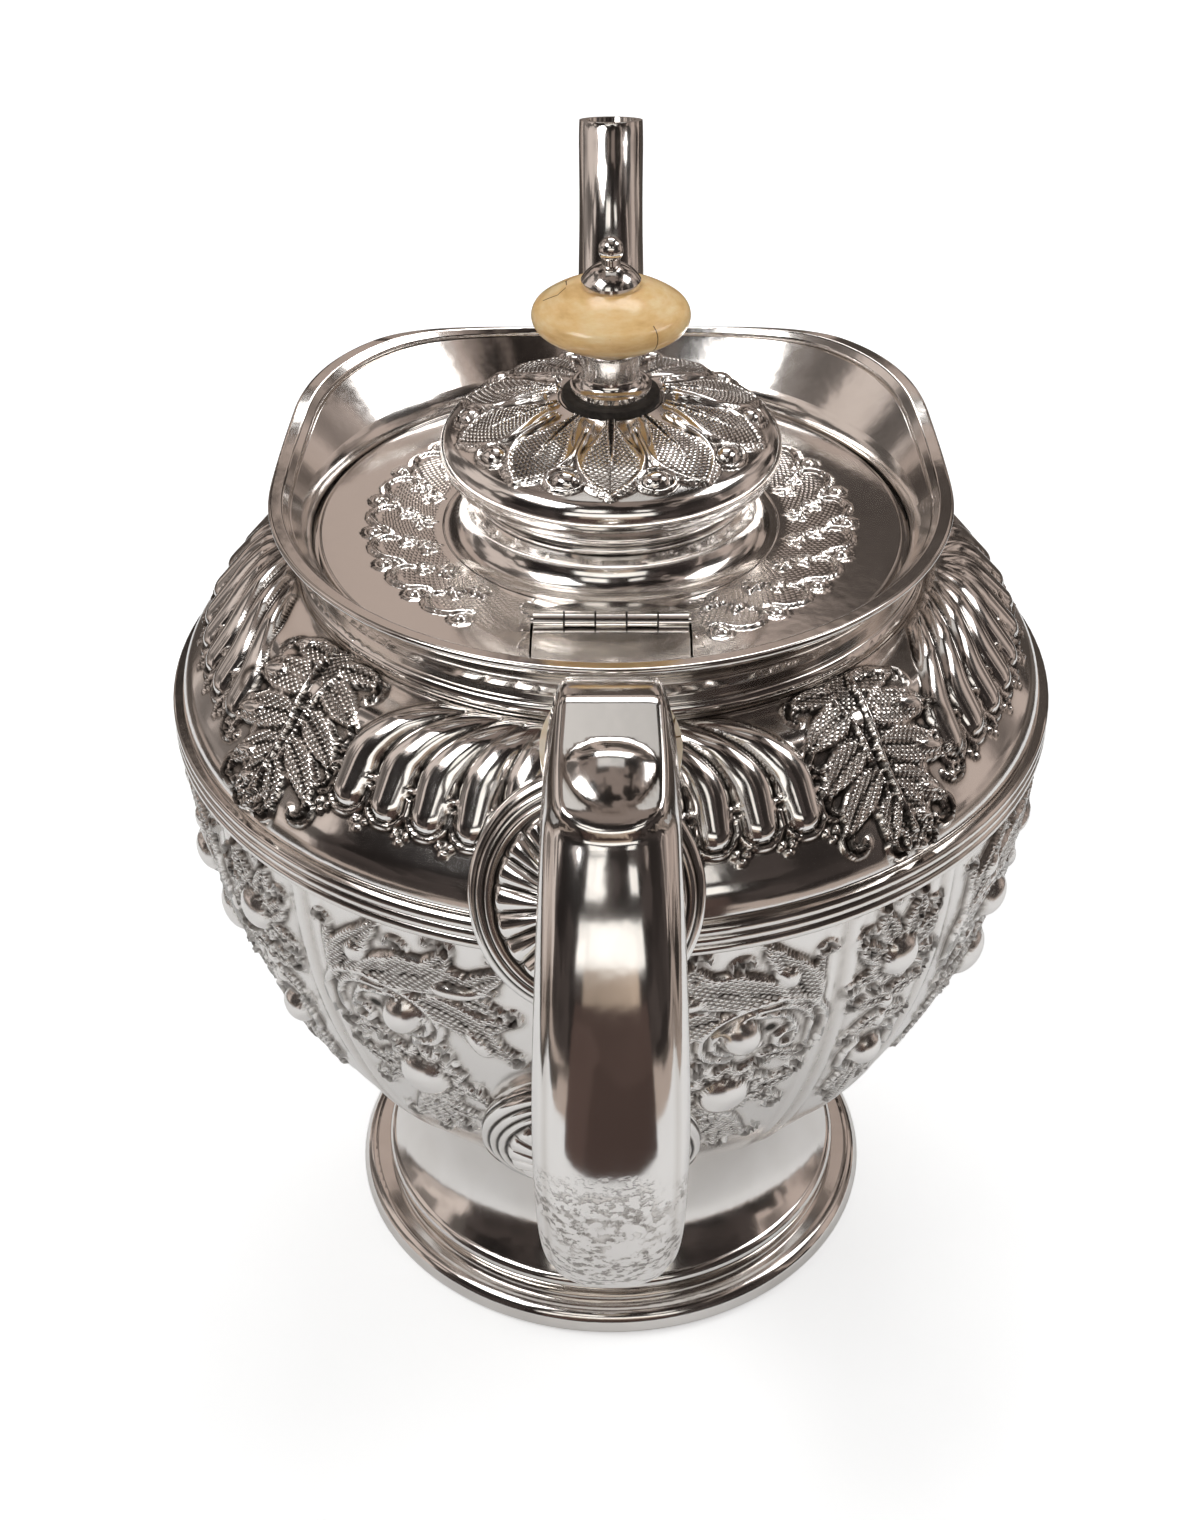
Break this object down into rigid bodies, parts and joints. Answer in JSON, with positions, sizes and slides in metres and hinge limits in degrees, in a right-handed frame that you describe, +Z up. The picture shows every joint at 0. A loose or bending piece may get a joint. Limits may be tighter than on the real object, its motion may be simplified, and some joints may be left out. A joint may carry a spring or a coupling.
{
  "type": "teapot",
  "caption": "Footed silver teapot with a hinged lid inside a flared gallery, an insulated loop handle and a swan-neck spout, for brewing and pouring tea.",
  "frame": {"origin": "centre of the foot's underside, on the pot's axis", "axes": "+Z up, +Y from the handle towards the spout, +X across the pot"},
  "size_m": [0.1304, 0.2272, 0.169],
  "materials": {
    "silver": "polished silver with darker tone in the recesses",
    "ivory": "polished cream horn or bone with fine cracks",
    "washer": "dark fibre"
  },
  "bodies": {
    "pot": {"bowl": "silver", "shoulder": "silver", "belt_wire": "silver", "foot_shell": "silver", "foot_wire": "silver", "gallery": "silver", "rim_wire": "silver", "collar_wire": "silver", "lid_seat": "silver", "spout": "silver", "upper_socket": "silver", "lower_socket": "silver", "upper_insulator": "ivory", "lower_insulator": "ivory", "upper_rivets": "silver", "lower_rivets": "silver", "handle": "silver", "hinge_body_leaf": "silver", "hinge_pin": "silver"},
    "lid": {"lid_cover": "silver", "lid_dome": "silver", "lid_bezel": "silver", "hinge_lid_leaf": "silver", "finial_washer": "washer", "finial_base": "silver", "finial_knob": "ivory", "finial_cap": "silver", "finial_stud": "silver", "finial_nut": "silver"}
  },
  "joints": [
    {"name": "lid_hinge", "type": "hinge", "parent": "pot", "child": "lid", "pos_m": [0, -0.029, 0.12645], "axis": [1, 0, 0], "range_deg": [0, 95]}
  ]
}
